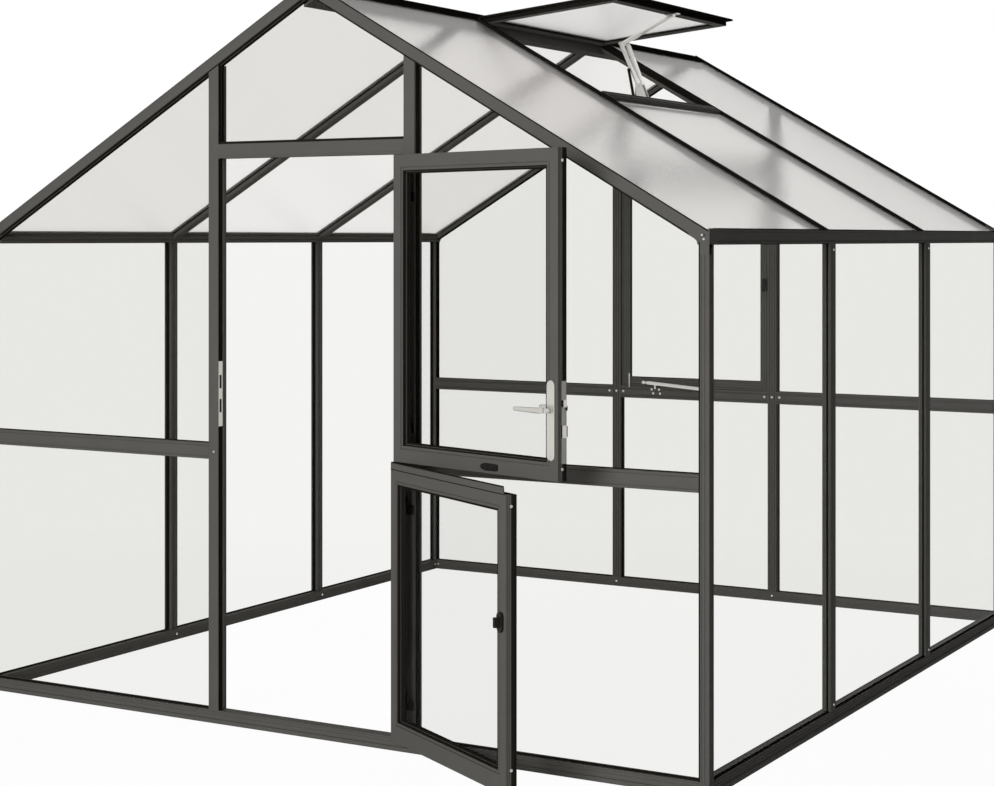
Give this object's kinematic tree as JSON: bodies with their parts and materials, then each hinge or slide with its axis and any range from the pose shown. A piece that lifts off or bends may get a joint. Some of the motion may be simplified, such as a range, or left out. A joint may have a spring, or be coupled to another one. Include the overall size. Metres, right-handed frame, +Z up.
{
  "type": "glass greenhouse",
  "caption": "Gabled garden greenhouse with a dark aluminium frame, clear glass walls, a pale twin-wall roof, an open roof vent and a stable door whose two leaves stand open.",
  "frame": {"origin": "middle of the underside of the front sill, on the ground under the doorway", "axes": "+X to the right seen from the door side, +Y into the house along its ridge, +Z up"},
  "size_m": [2.936, 3.6129, 2.5702],
  "materials": {
    "coated_aluminium": "satin powder coat, dark bronze grey",
    "clear_glass": "clear toughened glass",
    "twin_wall_sheet": "opal twin-wall polycarbonate",
    "satin_steel": "satin",
    "black_plastic": "moulded, fine texture"
  },
  "bodies": {
    "house": {"sill_front": "coated_aluminium", "sill_back": "coated_aluminium", "sill_left": "coated_aluminium", "sill_right": "coated_aluminium", "corner_post_front_left": "coated_aluminium", "corner_post_front_right": "coated_aluminium", "corner_post_back_left": "coated_aluminium", "corner_post_back_right": "coated_aluminium", "side_posts_left": "coated_aluminium", "side_posts_right": "coated_aluminium", "eave_beam_left": "coated_aluminium", "eave_beam_right": "coated_aluminium", "ridge_beam": "coated_aluminium", "rafter_front_left": "coated_aluminium", "rafter_front_right": "coated_aluminium", "rafter_back_left": "coated_aluminium", "rafter_back_right": "coated_aluminium", "eave_gussets": "coated_aluminium", "roof_bars_left": "coated_aluminium", "roof_bars_right": "coated_aluminium", "door_post_left": "coated_aluminium", "door_post_right": "coated_aluminium", "door_header": "coated_aluminium", "front_mid_rails": "coated_aluminium", "back_posts": "coated_aluminium", "back_header": "coated_aluminium", "back_mid_rails": "coated_aluminium", "front_glass": "clear_glass", "back_glass": "clear_glass", "left_glass": "clear_glass", "right_glass": "clear_glass", "roof_sheets_left": "twin_wall_sheet", "roof_sheets_right": "twin_wall_sheet", "vent_crossbar": "coated_aluminium", "vent_frame": "coated_aluminium", "vent_sheet": "twin_wall_sheet", "vent_opener": "satin_steel", "window_frame": "coated_aluminium", "window_glass": "clear_glass", "window_stay": "satin_steel", "strike_plate": "satin_steel", "door_hinges": "coated_aluminium"},
    "upper_leaf": {"upper_leaf_frame": "coated_aluminium", "upper_leaf_glass": "clear_glass", "lock_plates": "satin_steel"},
    "lever": {"lever_handle": "satin_steel"},
    "lower_leaf": {"lower_leaf_frame": "coated_aluminium", "lower_leaf_glass": "clear_glass", "weather_strip": "coated_aluminium", "turn_knob": "black_plastic"}
  },
  "joints": [
    {"name": "upper_leaf_hinge", "type": "hinge", "parent": "house", "child": "upper_leaf", "pos_m": [0.382, -0.029, 1.43], "axis": [0, 0, 1], "range_deg": [-163.5, 6.5]},
    {"name": "lower_leaf_hinge", "type": "hinge", "parent": "house", "child": "lower_leaf", "pos_m": [0.382, -0.029, 0.48], "axis": [0, 0, 1], "range_deg": [-149.5, 20.5]},
    {"name": "lever_turn", "type": "hinge", "parent": "upper_leaf", "child": "lever", "pos_m": [1.07178, -0.26357, 1.16], "axis": [-0.284, -0.9588, 0], "range_deg": [0, 40], "stiffness_Nm_per_rad": 1.5, "springref_deg": -17.19}
  ]
}
